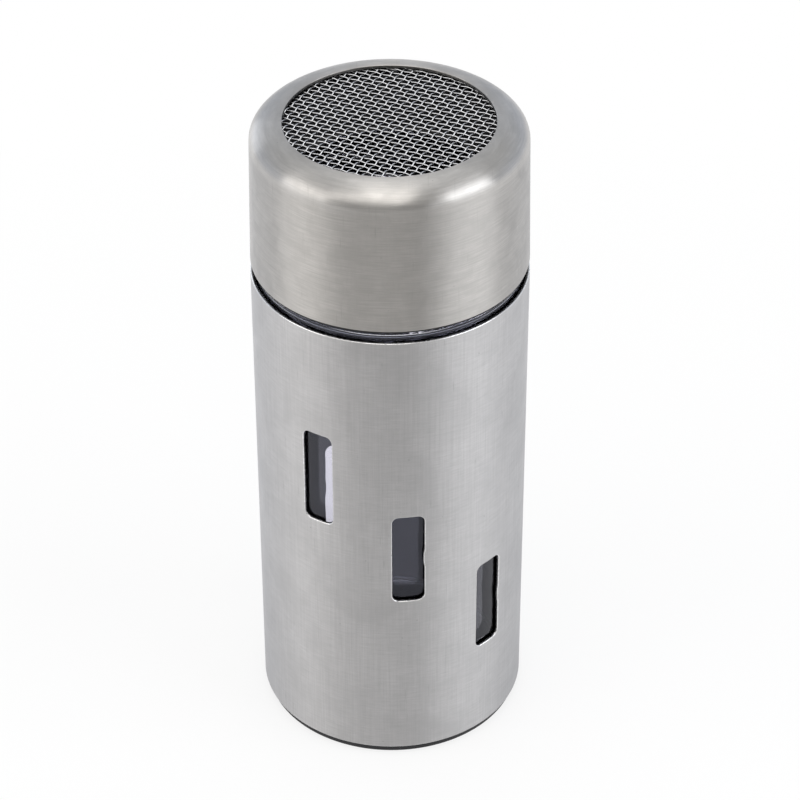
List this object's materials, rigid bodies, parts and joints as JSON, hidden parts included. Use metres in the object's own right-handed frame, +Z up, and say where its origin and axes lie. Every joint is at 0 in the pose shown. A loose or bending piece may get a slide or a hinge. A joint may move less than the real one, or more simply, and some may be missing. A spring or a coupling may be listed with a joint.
{
  "type": "seasoning bottle",
  "caption": "Round seasoning shaker: a clear screw-neck jar in a brushed steel sleeve with sight windows, on a black base, under a steel screw cap with a flat wire screen.",
  "frame": {"origin": "middle of the foot, on the surface that the bottle stands on", "axes": "+Z up along the bottle's axis, -Y towards the front row of windows, +X to the right of that front"},
  "size_m": [0.05, 0.05, 0.1257],
  "materials": {
    "sleeve_steel": "brushed round the wall",
    "cap_steel": "brushed round the wall, smoother on the shoulder",
    "screen_wire": "bright drawn wire",
    "clear_glass": "clear, polished",
    "black_plastic": "fine moulded satin",
    "silicone": "matt, dark grey",
    "soft_pad": "matt closed-cell foam"
  },
  "bodies": {
    "bottle": {"outer_sleeve": "sleeve_steel", "inner_jar": "clear_glass", "base_plug": "black_plastic", "jar_cushion": "soft_pad"},
    "seal": {"seal_gasket": "silicone"},
    "cap": {"cap_shell": "cap_steel", "cap_liner": "black_plastic", "screen_ring": "screen_wire", "mesh_screen": "screen_wire"}
  },
  "joints": [
    {"name": "cap_lift", "type": "slide", "parent": "bottle", "child": "seal", "axis": [0, 0, 1], "range_m": [0, 0.008]},
    {"name": "cap_turn", "type": "hinge", "parent": "seal", "child": "cap", "pos_m": [0, 0, 0.098], "axis": [0, 0, 1], "range_deg": [0, 720]}
  ],
  "couplings": [
    {"joint": "cap_lift", "follows": "cap_turn", "m_per_rad": 0.00063662}
  ]
}
